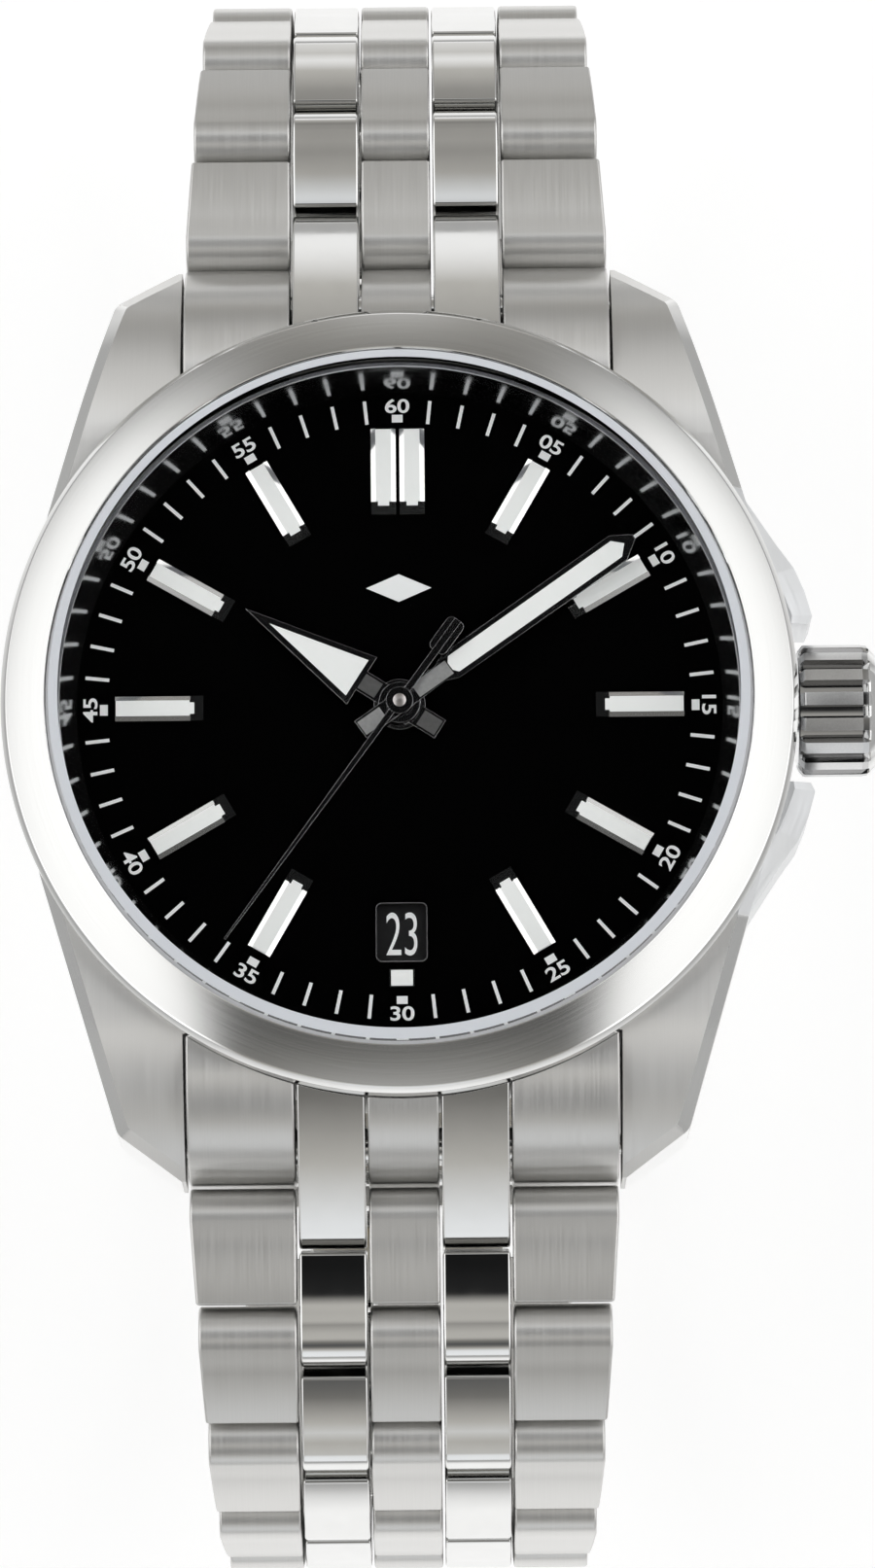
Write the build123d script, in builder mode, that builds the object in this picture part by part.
from build123d import *
import os
from math import acos, atan2, cos, degrees, hypot, pi, radians, sin

# Self-winding wristwatch on a five-piece steel bracelet, closed as it is worn.
# Frame: origin at the centre of the case back's outer face, +Z out through the dial,
# +Y towards twelve o'clock, +X towards the crown. Millimetres.

os.makedirs("parts", exist_ok=True)

# ---- driving dimensions ----
case_r = 18.0
lug_gap = 20.0
lug_tip_y = 21.4
lug_bevel = 0.5
case_bottom_z = 1.0
case_top_z = 8.0
bezel_r = 18.2
bezel_top_z = 10.3
crystal_r = 15.95
crystal_top_z = 11.1
crystal_seat_z = 8.95
dial_r = 15.0
dial_z = 6.1
dial_top_z = 6.5
flange_inner_r = 14.9
flange_outer_r = 15.7
movement_r = 12.8
movement_ring_r = 13.4
movement_ring_z = 2.8
case_back_r = 16.0
spigot_r = 13.95
window_r = 11.5
stem_z = 4.9
stem_r = 0.52
crown_r = 3.05
crown_inner_x = 18.3
crown_outer_x = 22.0
crown_tube_r = 1.1
crown_tube_bore_r = 0.65
crown_grooves = 16
bar_y = 19.7
bar_z = 2.2
bar_r = 0.9
bar_tip_r = 0.5
bar_hole_x = 11.2
date_window_y = -10.45
date_window_w = 2.3
date_window_h = 2.7

link_pitch = 5.4
link_half_t = 1.4
link_end = 1.52
first_pin_y = 23.0
first_pin_z = 2.2
row_slopes = (10, 33, 59, 80, 98, 115, 132, 150, 166)
centre_half_w = 1.62
inter_inner_x = 1.74
inter_outer_x = 4.84
outer_inner_x = 4.96
strap_half_w = 9.85
strap_taper = 0.35
strap_min_half_w = 8.1
hinge_pin_r = 0.5
fixing_pin_r = 0.4
running = 0.05
edge_break = 0.18


def half_width(row):
    """Half width of the bracelet where a row starts."""
    return max(strap_half_w - strap_taper * row, strap_min_half_w)


def ring(outer_r, inner_r, z0, z1):
    """A plain flat ring between two heights."""
    with BuildPart() as piece:
        with BuildSketch(Plane.XY.offset(z0)):
            Circle(outer_r)
            Circle(inner_r, mode=Mode.SUBTRACT)
        extrude(amount=z1 - z0)
    return piece.part


def save(part, name):
    """Label a finished piece and write its file."""
    part.label = name
    export_step(part, f"parts/{name}.step")


# ---- case ----
gasket_z = 2.35
guard_z = (2.6, 7.2)
guard_shoulder_z = 6.8
guard_foot = (
    (15, 10.4), (15.7, 10.05), (17.4, 7.45), (18.2, 6.35), (18.65, 5.3), (19.0, 4.1), (18.8, 3.7), (15, 3.7),
)
guard_crest = (
    (15, 9.4), (15.3, 9.1), (16.5, 7.1), (17.25, 6.0), (17.7, 5.0), (18.05, 4.05), (18.0, 3.7), (15, 3.7),
)
lug_shoulder_y = 12.5
lug_end_y = lug_tip_y + 0.3
lug_end_z = 3.2
lug_low_z = -1.2
lug_corner = (13.05, 19.45)
lug_side_angle = degrees(atan2(lug_corner[1], lug_corner[0])) - degrees(acos(case_r / hypot(*lug_corner)))
lug_side_start = (case_r * cos(radians(lug_side_angle)), case_r * sin(radians(lug_side_angle)))

with BuildSketch() as case_outline:
    Circle(case_r)
    for sx in (1, -1):
        for sy in (1, -1):
            Polygon(
                (0, 0), (sx * lug_side_start[0], sy * lug_side_start[1]),
                (sx * lug_corner[0], sy * lug_corner[1]), (sx * 10.2, sy * lug_tip_y),
                (sx * lug_gap / 2, sy * lug_tip_y), (sx * lug_gap / 2, sy * 10), align=None,
            )
    fillet([v for v in case_outline.vertices() if abs(abs(v.X) - lug_corner[0]) < 0.01], radius=0.8)


def crown_guards(points):
    """The two crown guards' plan outline, one each side of the crown."""
    with BuildSketch() as plan:
        Polygon(*points, align=None)
        mirror(about=Plane.XZ)
    return plan.sketch


def is_lug_rim(edge):
    """True for the outer edges along the top of the lugs, from the round body to the tips."""
    middle = edge.center()
    if abs(middle.X) < lug_gap / 2 + 0.1 or abs(middle.Y) < 5.5 or middle.Z < 3:
        return False
    on_top = abs(middle.Z - case_top_z) < 0.01 and abs(middle.X) > 13
    return edge.geom_type != GeomType.LINE or on_top


with BuildPart() as mid_case:
    with BuildSketch(Plane.XY.offset(lug_low_z)):
        add(case_outline.sketch)
    extrude(amount=case_top_z - lug_low_z)
    # side profile: flat body, lug tops and undersides curving down to the tips
    with BuildSketch(Plane.YZ):
        for s in (1, -1):
            with BuildLine():
                Line((0, case_top_z), (s * lug_shoulder_y, case_top_z))
                TangentArc((s * lug_shoulder_y, case_top_z), (s * lug_end_y, lug_end_z), tangent=(s, 0))
                Polyline((s * lug_end_y, lug_end_z), (s * (lug_tip_y + 0.1), -0.5), (s * 20.2, -0.7))
                ThreePointArc((s * 20.2, -0.7), (s * 18.3, 0.45), (s * 16.2, case_bottom_z))
                Line((s * 16.2, case_bottom_z), (0, case_bottom_z))
                Line((0, case_bottom_z), (0, case_top_z))
            make_face()
    extrude(amount=26, both=True, mode=Mode.INTERSECT)
    # polished bevel along the outer top edges of the lugs
    rim = [e for e in mid_case.edges() if is_lug_rim(e)]
    chamfer(rim, length=lug_bevel)
    # crown guards: straight sided, then falling away outwards so the crown is easy to grip
    with BuildSketch(Plane.XY.offset(guard_z[0])):
        add(crown_guards(guard_foot))
    extrude(amount=guard_shoulder_z - guard_z[0])
    for side in (1, -1):
        with BuildSketch(Plane.XY.offset(guard_shoulder_z)):
            Polygon(*[(x, side * y) for x, y in guard_foot], align=None)
        with BuildSketch(Plane.XY.offset(guard_z[1])):
            Polygon(*[(x, side * y) for x, y in guard_crest], align=None)
        loft(ruled=True)
    # space between each pair of lugs, cut down to the round body
    with BuildSketch(Plane.XY.offset(-2)):
        for s in (1, -1):
            with Locations((0, s * 21)):
                Rectangle(lug_gap, 14)
        Circle(case_r, mode=Mode.SUBTRACT)
    extrude(amount=12, mode=Mode.SUBTRACT)
    # bores: case-back spigot, movement, dial and flange
    bores = ((spigot_r + running, 0, gasket_z), (movement_ring_r, 2, dial_z), (15.8, dial_z, case_top_z + 1))
    for bore_r, z0, z1 in bores:
        with BuildSketch(Plane.XY.offset(z0)):
            Circle(bore_r)
        extrude(amount=z1 - z0, mode=Mode.SUBTRACT)
    # hole for the crown tube
    with BuildSketch(Plane.YZ.offset(12)):
        with Locations((0, stem_z)):
            Circle(crown_tube_r)
    extrude(amount=10, mode=Mode.SUBTRACT)
    # holes for the spring bars, blind from the inner faces of the lugs
    for s in (1, -1):
        with BuildSketch(Plane.YZ.offset(-bar_hole_x)):
            with Locations((s * bar_y, bar_z)):
                Circle(bar_tip_r)
        extrude(amount=2 * bar_hole_x, mode=Mode.SUBTRACT)
save(mid_case.part, "mid_case")

with BuildPart() as bezel:
    with BuildSketch(Plane.XZ):
        with BuildLine():
            Polyline(
                (15.85, case_top_z), (bezel_r, case_top_z), (bezel_r, 9.05), (17.8, 9.5),
                (16.15, bezel_top_z), (16.1, crystal_seat_z), (15.85, crystal_seat_z), (15.85, case_top_z),
            )
        make_face()
    revolve(axis=Axis.Z)
save(bezel.part, "bezel")

with BuildPart() as crystal:
    with BuildSketch(Plane.XY.offset(crystal_seat_z)):
        Circle(crystal_r)
    extrude(amount=crystal_top_z - crystal_seat_z)
    chamfer(crystal.edges().group_by(Axis.Z)[-1], length=0.45)
save(crystal.part, "crystal")

save(ring(16.1, crystal_r, crystal_seat_z, 10.0), "crystal_gasket")

with BuildPart() as rehaut_ring:
    with BuildSketch(Plane.XZ):
        with BuildLine():
            Polyline(
                (flange_inner_r - 0.1, dial_top_z), (flange_outer_r, dial_top_z),
                (flange_outer_r, 8.9), (flange_outer_r - 0.2, 8.9), (flange_inner_r - 0.1, dial_top_z),
            )
        make_face()
    revolve(axis=Axis.Z)
save(rehaut_ring.part, "rehaut_ring")

# ---- case back, with a window over the rotor ----
with BuildPart() as case_back:
    with BuildSketch(Plane.XY):
        Circle(case_back_r)
    extrude(amount=case_bottom_z)
    with BuildSketch(Plane.XY.offset(case_bottom_z)):
        Circle(spigot_r)
    extrude(amount=1.3)
    with BuildSketch(Plane.XY):
        Circle(window_r)
    extrude(amount=3, mode=Mode.SUBTRACT)
    with BuildSketch(Plane.XY.offset(0.9)):
        Circle(spigot_r - 1)
    extrude(amount=3, mode=Mode.SUBTRACT)
    # six slots for the opening key
    with BuildSketch(Plane.XY):
        with PolarLocations(14.6, 6):
            Rectangle(1.6, 1.2)
    extrude(amount=0.4, mode=Mode.SUBTRACT)
save(case_back.part, "case_back")

with BuildPart() as case_back_window:
    with BuildSketch(Plane.XY):
        Circle(window_r)
    extrude(amount=0.85)
save(case_back_window.part, "case_back_window")
save(ring(movement_ring_r - running, 12.97, gasket_z, gasket_z + 0.4), "case_back_gasket")

# ---- dial side ----
with BuildPart() as dial:
    with BuildSketch(Plane.XY.offset(dial_z)):
        Circle(dial_r)
        Circle(0.85, mode=Mode.SUBTRACT)
        with Locations((0, date_window_y)):
            RectangleRounded(date_window_w, date_window_h, 0.25, mode=Mode.SUBTRACT)
    extrude(amount=dial_top_z - dial_z)
save(dial.part, "dial")

marker_h = 0.4
marker_w = 1.15
marker_l = 4.05
marker_mid_r = 11.02
lume_w = 0.62
lume_l = 3.3
lume_drop = 0.06
short_marker_y = -12.6


def marker_places():
    """Centre, turn and length of each applied bar, counted anticlockwise from three o'clock."""
    places = [(marker_mid_r, turn, 0.0) for turn in range(0, 360, 30) if turn not in (90, 270)]
    return places + [(marker_mid_r, 90, 0.66), (marker_mid_r, 90, -0.66)]


with BuildPart() as hour_markers:
    for mid_r, turn, aside in marker_places():
        with BuildSketch(Plane.XY.offset(dial_top_z).rotated((0, 0, turn))):
            with Locations((mid_r, aside)):
                Rectangle(marker_l, marker_w)
            with Locations((mid_r + 0.15, aside)):
                Rectangle(lume_l, lume_w, mode=Mode.SUBTRACT)
        extrude(amount=marker_h)
    with BuildSketch(Plane.XY.offset(dial_top_z)):
        with Locations((0, short_marker_y)):
            Rectangle(1.2, 0.9)
            Rectangle(0.9, 0.6, mode=Mode.SUBTRACT)
    extrude(amount=marker_h)
save(hour_markers.part, "hour_markers")

with BuildPart() as marker_lume:
    for mid_r, turn, aside in marker_places():
        with BuildSketch(Plane.XY.offset(dial_top_z).rotated((0, 0, turn))):
            with Locations((mid_r + 0.15, aside)):
                Rectangle(lume_l, lume_w)
        extrude(amount=marker_h - lume_drop)
    with BuildSketch(Plane.XY.offset(dial_top_z)):
        with Locations((0, short_marker_y)):
            Rectangle(0.9, 0.6)
    extrude(amount=marker_h - lume_drop)
save(marker_lume.part, "marker_lume")

# ---- hands, drawn pointing along local +X and turned to the time shown ----
hour_turn = 90 - 302.8
minute_turn = 90 - 54.8
seconds_turn = 90 - 216.2
hour_hand_z = 7.15
minute_hand_z = 7.65
seconds_hand_z = 8.15
hand_t = 0.18
hour_pipe_r = 0.48
minute_pipe_r = 0.24
minute_hub_r = 0.42
seconds_pipe_r = 0.18
hour_pipe_z = 5.85
minute_pipe_z = 4.35

with BuildPart() as hour_hand:
    with BuildSketch(Plane.XY.offset(hour_hand_z).rotated((0, 0, hour_turn))):
        Rectangle(4.3, 1.0, align=(Align.MIN, Align.CENTER))
        Rectangle(2.2, 1.0, align=(Align.MAX, Align.CENTER))
        Circle(1.15)
        Polygon((2.04, 1.3), (2.04, -1.3), (8.4, 0), align=None)
        Circle(hour_pipe_r, mode=Mode.SUBTRACT)
    extrude(amount=hand_t)
    with BuildSketch(Plane.XY.offset(hour_pipe_z)):
        Circle(0.75)
        Circle(hour_pipe_r, mode=Mode.SUBTRACT)
    extrude(amount=hour_hand_z - hour_pipe_z)
save(hour_hand.part, "hour_hand")

with BuildPart() as minute_hand:
    with BuildSketch(Plane.XY.offset(minute_hand_z).rotated((0, 0, minute_turn))):
        Rectangle(3.4, 0.9, align=(Align.MIN, Align.CENTER))
        Rectangle(2.2, 0.96, align=(Align.MAX, Align.CENTER))
        Circle(0.9)
        Polygon((2.5, 0.62), (2.5, -0.62), (12.4, -0.7), (13.25, 0), (12.4, 0.7), align=None)
        Circle(minute_pipe_r, mode=Mode.SUBTRACT)
    extrude(amount=hand_t)
    with BuildSketch(Plane.XY.offset(minute_pipe_z)):
        Circle(minute_hub_r)
        Circle(minute_pipe_r, mode=Mode.SUBTRACT)
    extrude(amount=minute_hand_z - minute_pipe_z)
save(minute_hand.part, "minute_hand")

with BuildPart() as seconds_hand:
    with BuildSketch(Plane.XY.offset(seconds_hand_z).rotated((0, 0, seconds_turn))):
        Polygon((0, 0.17), (0, -0.17), (13.6, -0.07), (13.6, 0.07), align=None)
        Rectangle(4.6, 0.34, align=(Align.MAX, Align.CENTER))
        with Locations((-3.7, 0)):
            RectangleRounded(1.8, 0.9, 0.3)
        Circle(0.62)
        Circle(seconds_pipe_r, mode=Mode.SUBTRACT)
    extrude(amount=hand_t)
    with BuildSketch(Plane.XY.offset(seconds_hand_z - 0.12)):
        Circle(0.5)
        Circle(seconds_pipe_r, mode=Mode.SUBTRACT)
    extrude(amount=0.12)
save(seconds_hand.part, "seconds_hand")

# ---- movement ----
plate_z = (4.3, 5.75)
bridge_z = (2.75, 3.3)
train_distance = 4.25
mesh_turn = -30
third_x = train_distance * cos(radians(mesh_turn))
third_y = train_distance * sin(radians(mesh_turn))
balance_xy = (-1.6, 8.6)
barrel_xy = (-7.9, -3.3)
barrel_hole_r = 0.45
pivot_hole_r = 0.2
pivot_r = 0.15
pillar_places = ((10.6, 3.2), (4.6, -10.6), (-10.6, 3.4), (5.6, 9.6))

with BuildPart() as main_plate:
    with BuildSketch(Plane.XY.offset(plate_z[0])):
        Circle(movement_r)
        Circle(0.5, mode=Mode.SUBTRACT)
        with Locations((third_x, third_y)):
            Circle(pivot_hole_r, mode=Mode.SUBTRACT)
        with Locations(balance_xy):
            Circle(pivot_hole_r, mode=Mode.SUBTRACT)
        with Locations(barrel_xy):
            Circle(barrel_hole_r, mode=Mode.SUBTRACT)
    extrude(amount=plate_z[1] - plate_z[0])
    with BuildSketch(Plane.YZ.offset(5)):
        with Locations((0, stem_z)):
            Circle(stem_r + 0.04)
    extrude(amount=10, mode=Mode.SUBTRACT)
save(main_plate.part, "main_plate")

with BuildPart() as train_bridge:
    with BuildSketch(Plane.XY.offset(bridge_z[0])):
        Circle(12.4)
        with Locations(balance_xy):
            Circle(4.1, mode=Mode.SUBTRACT)
            Rectangle(8.2, 6, align=(Align.CENTER, Align.MIN), mode=Mode.SUBTRACT)
        with Locations((third_x, third_y)):
            Circle(pivot_hole_r, mode=Mode.SUBTRACT)
        with Locations(barrel_xy):
            Circle(barrel_hole_r, mode=Mode.SUBTRACT)
        Circle(minute_pipe_r, mode=Mode.SUBTRACT)
    extrude(amount=bridge_z[1] - bridge_z[0])
    # pillars that stand the bridge off the main plate
    with BuildSketch(Plane.XY.offset(bridge_z[1])):
        with Locations(*pillar_places):
            Circle(0.9)
    extrude(amount=plate_z[0] - bridge_z[1])
save(train_bridge.part, "train_bridge")

with BuildPart() as movement_screws:
    with BuildSketch(Plane.XY.offset(bridge_z[0] - 0.2)):
        with Locations(*pillar_places):
            Circle(0.75)
    extrude(amount=0.2)
    with BuildSketch(Plane.XY.offset(bridge_z[0] - 0.2)):
        with Locations(*pillar_places):
            Rectangle(1.6, 0.22)
    extrude(amount=0.1, mode=Mode.SUBTRACT)
save(movement_screws.part, "movement_screws")


def gear(teeth, module, phase):
    """Outline of a spur wheel with a tooth centred at the phase angle."""
    pitch_r = teeth * module / 2
    root_r = pitch_r - 1.25 * module
    tooth = 0.36 * pi * module
    with BuildSketch() as wheel:
        Circle(root_r)
        with PolarLocations(0, teeth, start_angle=phase):
            Polygon(
                (root_r - 0.3 * module, -0.62 * tooth), (pitch_r + 0.8 * module, -0.3 * tooth),
                (pitch_r + 0.8 * module, 0.3 * tooth), (root_r - 0.3 * module, 0.62 * tooth), align=None,
            )
    return wheel.sketch


centre_count, third_count, pinion_count = 80, 75, 10
wheel_t = 0.16
centre_wheel_z = 3.98
third_wheel_z = 3.48
barrel_z = 3.42
rotor_z = 1.3
rotor_r = 12.4
centre_module = train_distance * 2 / (centre_count + pinion_count)
third_module = train_distance * 2 / (third_count + pinion_count)
centre_teeth = gear(centre_count, centre_module, mesh_turn)
third_pinion_teeth = gear(pinion_count, centre_module, mesh_turn + 180 + 180 / pinion_count)
third_teeth = gear(third_count, third_module, mesh_turn + 180 + 180 / third_count)
fourth_pinion_teeth = gear(pinion_count, third_module, mesh_turn)

with BuildPart() as centre_wheel:
    with BuildSketch(Plane.XY.offset(centre_wheel_z)):
        add(centre_teeth)
    extrude(amount=wheel_t)
    with BuildSketch(Plane.XY.offset(centre_wheel_z + wheel_t)):
        Circle(0.7)
    extrude(amount=0.14)
    with BuildSketch(Plane.XY.offset(centre_wheel_z)):
        Circle(minute_hub_r)
        with PolarLocations(2.1, 5):
            Circle(0.85)
    extrude(amount=0.3, mode=Mode.SUBTRACT)
    with BuildSketch(Plane.XY.offset(centre_wheel_z)):
        Circle(minute_hub_r)
        Circle(minute_pipe_r, mode=Mode.SUBTRACT)
    extrude(amount=minute_pipe_z - centre_wheel_z)
save(centre_wheel.part, "centre_wheel")

with BuildPart() as fourth_wheel:
    with BuildSketch(Plane.XY.offset(3.4)):
        add(fourth_pinion_teeth)
    extrude(amount=0.3)
    with BuildSketch(Plane.XY.offset(3.0)):
        Circle(seconds_pipe_r)
    extrude(amount=seconds_hand_z + hand_t - 3.0)
save(fourth_wheel.part, "fourth_wheel")

with BuildPart() as third_wheel:
    with BuildSketch(Plane.XY.offset(third_wheel_z)):
        with Locations((third_x, third_y)):
            add(third_teeth)
    extrude(amount=wheel_t)
    with BuildSketch(Plane.XY.offset(third_wheel_z)):
        with Locations((third_x, third_y)):
            with PolarLocations(2.0, 5):
                Circle(0.8)
    extrude(amount=0.3, mode=Mode.SUBTRACT)
    with BuildSketch(Plane.XY.offset(third_wheel_z + wheel_t)):
        with Locations((third_x, third_y)):
            add(third_pinion_teeth)
    extrude(amount=0.54)
    with BuildSketch(Plane.XY.offset(2.9)):
        with Locations((third_x, third_y)):
            Circle(pivot_r)
    extrude(amount=2.2)
save(third_wheel.part, "third_wheel")

with BuildPart() as mainspring_barrel:
    with BuildSketch(Plane.XY.offset(barrel_z)):
        with Locations(barrel_xy):
            Circle(4.1)
    extrude(amount=0.46)
    with BuildSketch(Plane.XY.offset(2.8)):
        with Locations(barrel_xy):
            Circle(0.4)
    extrude(amount=2.4)
save(mainspring_barrel.part, "mainspring_barrel")

with BuildPart() as balance_wheel:
    with BuildSketch(Plane.XY.offset(3.35)):
        with Locations(balance_xy):
            Circle(3.7)
            Circle(3.2, mode=Mode.SUBTRACT)
            with PolarLocations(0, 3):
                Rectangle(3.4, 0.4, align=(Align.MIN, Align.CENTER))
            Circle(0.5)
    extrude(amount=0.3)
    with BuildSketch(Plane.XY.offset(2.5)):
        with Locations(balance_xy):
            Circle(pivot_r)
    extrude(amount=2.6)
save(balance_wheel.part, "balance_wheel")

with BuildPart() as balance_cock:
    with BuildSketch(Plane.XY.offset(bridge_z[0] - 0.35)):
        with Locations(balance_xy):
            Circle(0.9)
            Rectangle(1.4, 4.6, align=(Align.CENTER, Align.MAX))
            Circle(pivot_hole_r, mode=Mode.SUBTRACT)
    extrude(amount=0.35)
save(balance_cock.part, "balance_cock")

with BuildPart() as rotor:
    with BuildSketch(Plane.XY.offset(rotor_z)):
        Circle(rotor_r)
        with Locations((0, 1.2)):
            Rectangle(26, 13, align=(Align.CENTER, Align.MIN), mode=Mode.SUBTRACT)
        with PolarLocations(7.2, 3, start_angle=-150, angular_range=120):
            Circle(1.5, mode=Mode.SUBTRACT)
        Circle(2.3)
        Circle(1.5, mode=Mode.SUBTRACT)
    extrude(amount=0.5)
    with BuildSketch(Plane.XY.offset(rotor_z + 0.5)):
        Circle(rotor_r)
        Circle(10.6, mode=Mode.SUBTRACT)
        with Locations((0, 1.2)):
            Rectangle(26, 13, align=(Align.CENTER, Align.MIN), mode=Mode.SUBTRACT)
    extrude(amount=0.7)
save(rotor.part, "rotor")

with BuildPart() as rotor_bearing:
    with BuildSketch(Plane.XY.offset(1.2)):
        Circle(1.45)
    extrude(amount=1.15)
    with BuildSketch(Plane.XY.offset(2.35)):
        Circle(1.9)
        Circle(0.3, mode=Mode.SUBTRACT)
    extrude(amount=0.4)
save(rotor_bearing.part, "rotor_bearing")

with BuildPart() as date_disc:
    with BuildSketch(Plane.XY.offset(5.82)):
        Circle(12.3)
        Circle(8.9, mode=Mode.SUBTRACT)
    extrude(amount=0.16)
save(date_disc.part, "date_disc")

with BuildPart() as movement_ring:
    with BuildSketch(Plane.XY.offset(movement_ring_z)):
        Circle(movement_ring_r)
        Circle(movement_r + 0.02, mode=Mode.SUBTRACT)
    extrude(amount=dial_z - movement_ring_z)
    with BuildSketch(Plane.YZ.offset(12)):
        with Locations((0, stem_z)):
            Circle(crown_tube_bore_r)
    extrude(amount=3, mode=Mode.SUBTRACT)
save(movement_ring.part, "movement_ring")

# ---- crown, stem and tube ----
def tube_x(outer_r, inner_r, x0, length):
    """A short pipe along the stem's axis."""
    with BuildPart() as piece:
        with BuildSketch(Plane.YZ.offset(x0)):
            with Locations((0, stem_z)):
                Circle(outer_r)
                Circle(inner_r, mode=Mode.SUBTRACT)
        extrude(amount=length)
    return piece.part


crown_tube_x = (13.5, 20.4)
stem_inner_x = 6.5
crown_tube = tube_x(crown_tube_r, crown_tube_bore_r, crown_tube_x[0], crown_tube_x[1] - crown_tube_x[0])
save(crown_tube, "crown_tube")

with BuildPart() as crown:
    with BuildSketch(Plane.YZ.offset(crown_inner_x)):
        with Locations((0, stem_z)):
            Circle(crown_r)
    extrude(amount=crown_outer_x - crown_inner_x)
    chamfer(crown.edges().filter_by(GeomType.CIRCLE).group_by(Axis.X)[-1], length=0.55)
    chamfer(crown.edges().filter_by(GeomType.CIRCLE).group_by(Axis.X)[0], length=0.25)
    with BuildSketch(Plane.YZ.offset(crown_inner_x + 0.35)):
        with Locations((0, stem_z)):
            with PolarLocations(crown_r, crown_grooves):
                RectangleRounded(0.5, 0.6, 0.12)
    extrude(amount=crown_outer_x - 0.75 - crown_inner_x, mode=Mode.SUBTRACT)
    with BuildSketch(Plane.YZ.offset(crown_inner_x - 0.1)):
        with Locations((0, stem_z)):
            Circle(1.3)
    extrude(amount=2.3, mode=Mode.SUBTRACT)
save(crown.part, "crown")

with BuildPart() as winding_stem:
    with BuildSketch(Plane.YZ.offset(stem_inner_x)):
        with Locations((0, stem_z)):
            Circle(stem_r)
    extrude(amount=crown_inner_x + 2.2 - stem_inner_x)
save(winding_stem.part, "winding_stem")

save(tube_x(1.28, 1.12, 19.9, 0.3), "crown_gasket")

# ---- end links, one at each end of the case ----
link_top_z = 7.5
link_low_z = 0.8
crest_y = 17.6


def end_profile(s, inset):
    """Side outline of an end link; inset lowers the top to form the grooves between its ribs."""
    top = first_pin_z + link_half_t - inset
    flat_y = first_pin_y - link_end
    with BuildSketch(Plane.YZ) as outline:
        with BuildLine():
            Polyline(
                (s * 15, link_top_z - inset), (s * 15, 1.1), (s * 18.5, link_low_z),
                (s * flat_y, link_low_z), (s * flat_y, top),
            )
            ThreePointArc((s * flat_y, top), (s * 20.3, 5.7 - inset), (s * crest_y, link_top_z - inset))
            Line((s * crest_y, link_top_z - inset), (s * 15, link_top_z - inset))
        make_face()
    return outline.sketch


tongue_turn = 55
tongue_tip_y = first_pin_y + link_half_t * cos(radians(tongue_turn))
tongue_tip_z = first_pin_z + link_half_t * sin(radians(tongue_turn))


def tongue_profile(s):
    """Side outline of an end link's tongue, whose top runs on down to the round about the first pin."""
    low_z = first_pin_z - link_half_t
    with BuildSketch() as outline:
        with BuildLine():
            ThreePointArc((s * crest_y, link_top_z), (s * 20.3, 5.9), (s * tongue_tip_y, tongue_tip_z))
            Polyline(
                (s * tongue_tip_y, tongue_tip_z), (s * first_pin_y, low_z), (s * 18.5, low_z),
                (s * crest_y, 1.1), (s * crest_y, link_top_z),
            )
        make_face()
    return outline.sketch


rib_spans = (
    (-centre_half_w, centre_half_w), (inter_inner_x, inter_outer_x), (-inter_outer_x, -inter_inner_x),
    (outer_inner_x, strap_half_w), (-strap_half_w, -outer_inner_x),
)

for s, hour in ((1, 12), (-1, 6)):
    rib = end_profile(s, 0)
    core = end_profile(s, 0.3)
    with BuildPart() as end_link:
        for x0, x1 in rib_spans:
            extrude(rib.moved(Location((x0, 0, 0))), amount=x1 - x0)
        extrude(core, amount=strap_half_w, both=True)
        # tongues that reach out to the first pin
        for x0 in (inter_inner_x, -inter_outer_x):
            with BuildSketch(Plane.YZ.offset(x0)):
                with Locations((s * first_pin_y, first_pin_z)):
                    Circle(link_half_t)
                add(tongue_profile(s))
                with Locations((s * first_pin_y, first_pin_z)):
                    Circle(hinge_pin_r + running, mode=Mode.SUBTRACT)
            extrude(amount=inter_outer_x - inter_inner_x)
        with BuildSketch(Plane.XY.offset(-5)):
            Circle(case_r + 0.12)
        extrude(amount=20, mode=Mode.SUBTRACT)
        with BuildSketch(Plane.YZ.offset(-11)):
            with Locations((s * bar_y, bar_z)):
                Circle(bar_r)
        extrude(amount=22, mode=Mode.SUBTRACT)
    save(end_link.part, f"end_link_{hour}")

with BuildPart() as spring_bars:
    for half_l, step_r in ((strap_half_w, bar_r), (bar_hole_x - 0.1, bar_tip_r)):
        with BuildSketch(Plane.YZ):
            with Locations((bar_y, bar_z), (-bar_y, bar_z)):
                Circle(step_r)
        extrude(amount=half_l, both=True)
save(spring_bars.part, "spring_bars")


# ---- bracelet rows ----
def row_frames(s):
    """Planes at each pin of a strand: local x along the strand, local y outward, z across it."""
    y, z = first_pin_y, first_pin_z
    frames = []
    for slope in row_slopes:
        along = (0, s * cos(radians(slope)), -sin(radians(slope)))
        frames.append(Plane(origin=(0, s * y, z), x_dir=along, z_dir=(s, 0, 0)))
        y += link_pitch * cos(radians(slope))
        z -= link_pitch * sin(radians(slope))
    return frames, (s * y, z)


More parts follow.
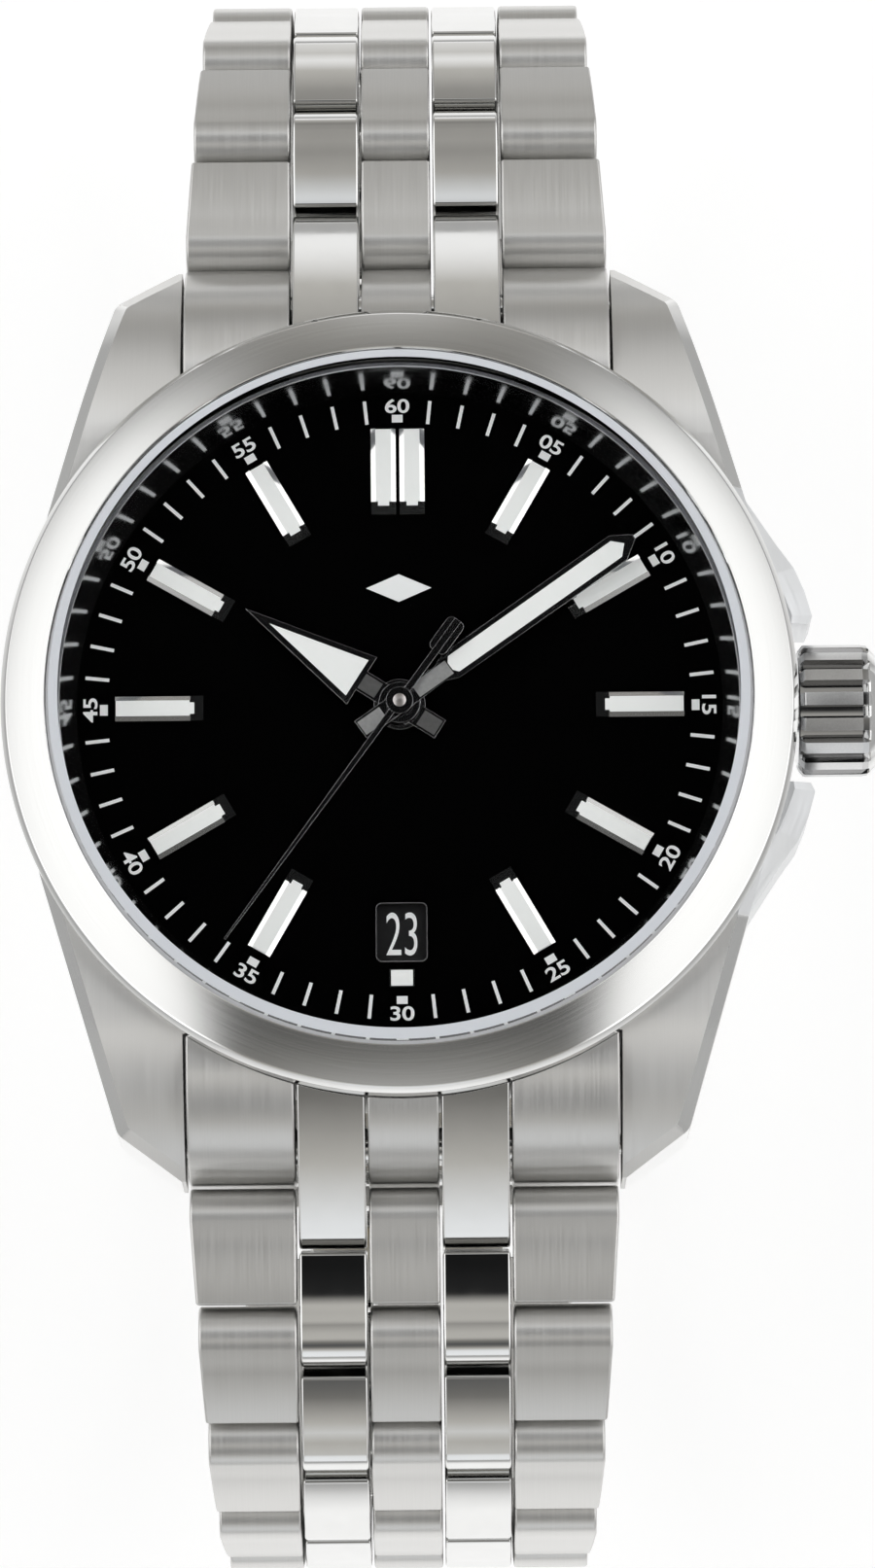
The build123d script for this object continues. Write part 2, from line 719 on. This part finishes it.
def link(frame, x0, x1, round_u, flat_u, holes, far_half_w=None):
    """One link: round about round_u, flat at flat_u, bored where holes lists (u, radius, reach)."""
    with BuildPart() as piece:
        with BuildSketch(frame.offset(x0)):
            with Locations((round_u, 0)):
                Circle(link_half_t)
            with Locations(((round_u + flat_u) / 2, 0)):
                Rectangle(abs(flat_u - round_u), 2 * link_half_t)
        extrude(amount=x1 - x0)
        if far_half_w:
            side = 1 if x1 > 0 else -1
            near = max(abs(x0), abs(x1))
            with BuildSketch(Plane(origin=frame.origin, x_dir=frame.x_dir, z_dir=frame.y_dir)):
                Polygon(
                    (-link_half_t, -side * near), (link_pitch, -side * far_half_w),
                    (link_pitch, -side * (near + 1)), (-link_half_t, -side * (near + 1)), align=None,
                )
            extrude(amount=3, both=True, mode=Mode.SUBTRACT)
        ends = piece.faces().sort_by(Axis.X)
        chamfer(ends[0].edges() + ends[-1].edges(), length=edge_break)
        for u, hole_r, reach in holes:
            with BuildSketch(frame.offset(-reach)):
                with Locations((u, 0)):
                    Circle(hole_r)
            extrude(amount=2 * reach, mode=Mode.SUBTRACT)
    return piece.part


def pin(frame, u, pin_r, reach):
    """A straight pin across the strand."""
    with BuildPart() as piece:
        with BuildSketch(frame.offset(-reach)):
            with Locations((u, 0)):
                Circle(pin_r)
        extrude(amount=2 * reach)
    return piece.part


mid_u = link_pitch / 2
hub_flat = link_pitch - link_end


def link_row(frame, row):
    """Outer, centre and inter links of one row, with its hinge pin and its fixing pin."""
    near, far = half_width(row), half_width(row + 1)
    reach = near - 1.1
    hub_holes = ((0, hinge_pin_r, reach), (mid_u, fixing_pin_r, reach))
    tongue_holes = ((link_pitch, hinge_pin_r + running, reach), (mid_u, fixing_pin_r, reach))
    return Compound(children=[
        link(frame, outer_inner_x, near, 0, hub_flat, hub_holes, far),
        link(frame, inter_inner_x, inter_outer_x, link_pitch, link_end, tongue_holes),
        link(frame, -centre_half_w, centre_half_w, 0, hub_flat, hub_holes),
        link(frame, -inter_outer_x, -inter_inner_x, link_pitch, link_end, tongue_holes),
        link(frame, -near, -outer_inner_x, 0, hub_flat, hub_holes, far),
        pin(frame, 0, hinge_pin_r, reach),
        pin(frame, mid_u, fixing_pin_r, reach),
    ])


for s, hour in ((1, 12), (-1, 6)):
    frames, last_pin = row_frames(s)
    for row, frame in enumerate(frames):
        pieces = link_row(frame, row)
        if hour == 6 and row == len(frames) - 1:
            # bar across the last tongues, where the clasp's base blade hooks on
            end_bar = pin(frame, link_pitch, hinge_pin_r + running, inter_outer_x)
            pieces = Compound(children=[*pieces.children, end_bar])
        save(pieces, f"strap_{hour}_row_{row + 1}")

# ---- folding clasp: cover, middle blade and base blade, on arcs about one centre ----
clasp_r = 80.0
last_y, last_z = -last_pin[0], last_pin[1]
clasp_centre_z = last_z + (clasp_r ** 2 - last_y ** 2) ** 0.5
cover_r = (clasp_r + 0.7, clasp_r + 1.6)
middle_r = (clasp_r - 0.4, clasp_r + 0.4)
base_r = (clasp_r - 2.2, clasp_r - 1.4)
wall_x = (7.3, strap_min_half_w)
blade_half_w = 6.2
tongue_half_w = 3.1
tongue_gap = 0.2
button_hole_r = 0.9
button_cap_r = 0.85
cover_pin_y = -16.6
base_end_y = -14.8
cover_pin_r = clasp_r - 0.35
blade_pin_y = 10.0
blade_pin_r = clasp_r - 0.95
knuckle_r = 0.75
clasp_pin_r = 0.4
button_y = 6.0
cover_y = (-18.2, 18.45)
button_r_level = clasp_r - 0.6


def on_arc(y, arc_r):
    """Height of an arc about the clasp's centre at a given y."""
    return clasp_centre_z - (arc_r ** 2 - y ** 2) ** 0.5


def arc_band(r_in, r_out, y0, y1):
    """Side outline of a curved plate between two radii and two ends."""
    with BuildSketch(Plane.YZ) as band:
        with Locations((0, clasp_centre_z)):
            Circle(r_out)
            Circle(r_in, mode=Mode.SUBTRACT)
        with Locations(((y0 + y1) / 2, clasp_centre_z - clasp_r)):
            Rectangle(y1 - y0, 20, mode=Mode.INTERSECT)
    return band.sketch


cover_plate = arc_band(*cover_r, *cover_y)
cover_wall = arc_band(base_r[0], cover_r[1], *cover_y)
cover_block = arc_band(base_r[0], cover_r[1], 16.2, cover_y[1])

with BuildPart() as clasp_cover:
    extrude(cover_plate, amount=wall_x[1], both=True)
    extrude(cover_block, amount=wall_x[1], both=True)
    for x0 in (wall_x[0], -wall_x[1]):
        extrude(cover_wall.moved(Location((x0, 0, 0))), amount=wall_x[1] - wall_x[0])
    # knuckles round the last pin of the twelve o'clock strand
    knuckle_spans = (
        (-centre_half_w, centre_half_w), (outer_inner_x, wall_x[1]), (-wall_x[1], -outer_inner_x),
    )
    for x0, x1 in knuckle_spans:
        with BuildSketch(Plane.YZ.offset(x0)):
            with Locations((last_y, last_z)):
                Circle(link_half_t)
                Rectangle(3.2, 2 * link_half_t, align=(Align.MAX, Align.CENTER), rotation=14)
        extrude(amount=x1 - x0)
    with BuildSketch(Plane.YZ.offset(-wall_x[1] + 1)):
        with Locations((last_y, last_z)):
            Circle(hinge_pin_r)
    extrude(amount=2 * wall_x[1] - 2, mode=Mode.SUBTRACT)
    with BuildSketch(Plane.YZ.offset(-10)):
        with Locations((cover_pin_y, on_arc(cover_pin_y, cover_pin_r))):
            Circle(clasp_pin_r)
    extrude(amount=20, mode=Mode.SUBTRACT)
    with BuildSketch(Plane.YZ.offset(-10)):
        with Locations((button_y, on_arc(button_y, button_r_level))):
            Circle(button_hole_r)
    extrude(amount=20, mode=Mode.SUBTRACT)
save(clasp_cover.part, "clasp_cover")

cover_pin_z = on_arc(cover_pin_y, cover_pin_r)
blade_pin_z = on_arc(blade_pin_y, blade_pin_r)


def cross_pin(y, z, pin_r, half_l):
    """A straight pin along X."""
    with BuildPart() as piece:
        with BuildSketch(Plane.YZ):
            with Locations((y, z)):
                Circle(pin_r)
        extrude(amount=half_l, both=True)
    return piece.part


save(cross_pin(cover_pin_y, cover_pin_z, clasp_pin_r, wall_x[1] - 0.05), "clasp_cover_pin")
save(cross_pin(blade_pin_y, blade_pin_z, clasp_pin_r, blade_half_w - 0.1), "clasp_blade_pin")
save(cross_pin(last_y, last_z, hinge_pin_r, wall_x[1] - 1), "clasp_end_pin")

middle_band = arc_band(*middle_r, cover_pin_y, blade_pin_y)
with BuildPart() as clasp_middle_blade:
    extrude(middle_band, amount=blade_half_w, both=True)
    with BuildSketch(Plane.YZ):
        with Locations((cover_pin_y, cover_pin_z)):
            Circle(knuckle_r)
    extrude(amount=blade_half_w, both=True)
    # the far end narrows to a tongue between the base blade's ears
    with BuildSketch(Plane.XY.offset(-60)):
        for s in (1, -1):
            with Locations((s * 5.2, blade_pin_y)):
                Rectangle(4, 2.1)
    extrude(amount=50, mode=Mode.SUBTRACT)
    with BuildSketch(Plane.YZ):
        with Locations((blade_pin_y, blade_pin_z)):
            Circle(knuckle_r)
    extrude(amount=tongue_half_w, both=True)
    with BuildSketch(Plane.YZ):
        with Locations((cover_pin_y, cover_pin_z), (blade_pin_y, blade_pin_z)):
            Circle(clasp_pin_r + running)
    extrude(amount=10, both=True, mode=Mode.SUBTRACT)
save(clasp_middle_blade.part, "clasp_middle_blade")

base_band = arc_band(*base_r, base_end_y, blade_pin_y)
with BuildPart() as clasp_base_blade:
    extrude(base_band, amount=blade_half_w, both=True)
    # clearance for the middle blade's tongue
    with BuildSketch(Plane.XY.offset(-60)):
        with Locations((0, blade_pin_y)):
            Rectangle(6.5, 2.1)
    extrude(amount=50, mode=Mode.SUBTRACT)
    for x0 in (tongue_half_w + tongue_gap, -blade_half_w):
        with BuildSketch(Plane.YZ.offset(x0)):
            with Locations((blade_pin_y, blade_pin_z)):
                Circle(knuckle_r)
        extrude(amount=blade_half_w - tongue_half_w - tongue_gap)
    with BuildSketch(Plane.YZ):
        with Locations((blade_pin_y, blade_pin_z)):
            Circle(clasp_pin_r)
    extrude(amount=blade_half_w - 0.1, both=True, mode=Mode.SUBTRACT)
save(clasp_base_blade.part, "clasp_base_blade")

for s, side in ((1, "right"), (-1, "left")):
    with BuildPart() as button:
        with BuildSketch(Plane.YZ.offset(s * 6.95)):
            with Locations((button_y, on_arc(button_y, button_r_level))):
                Circle(1.15)
        extrude(amount=s * 0.3)
        with BuildSketch(Plane.YZ.offset(s * 7.25)):
            with Locations((button_y, on_arc(button_y, button_r_level))):
                Circle(button_cap_r)
        extrude(amount=s * 1.75)
        fillet(button.edges().filter_by(GeomType.CIRCLE).sort_by(Axis.X)[-1 if s > 0 else 0], radius=0.2)
    save(button.part, f"clasp_button_{side}")
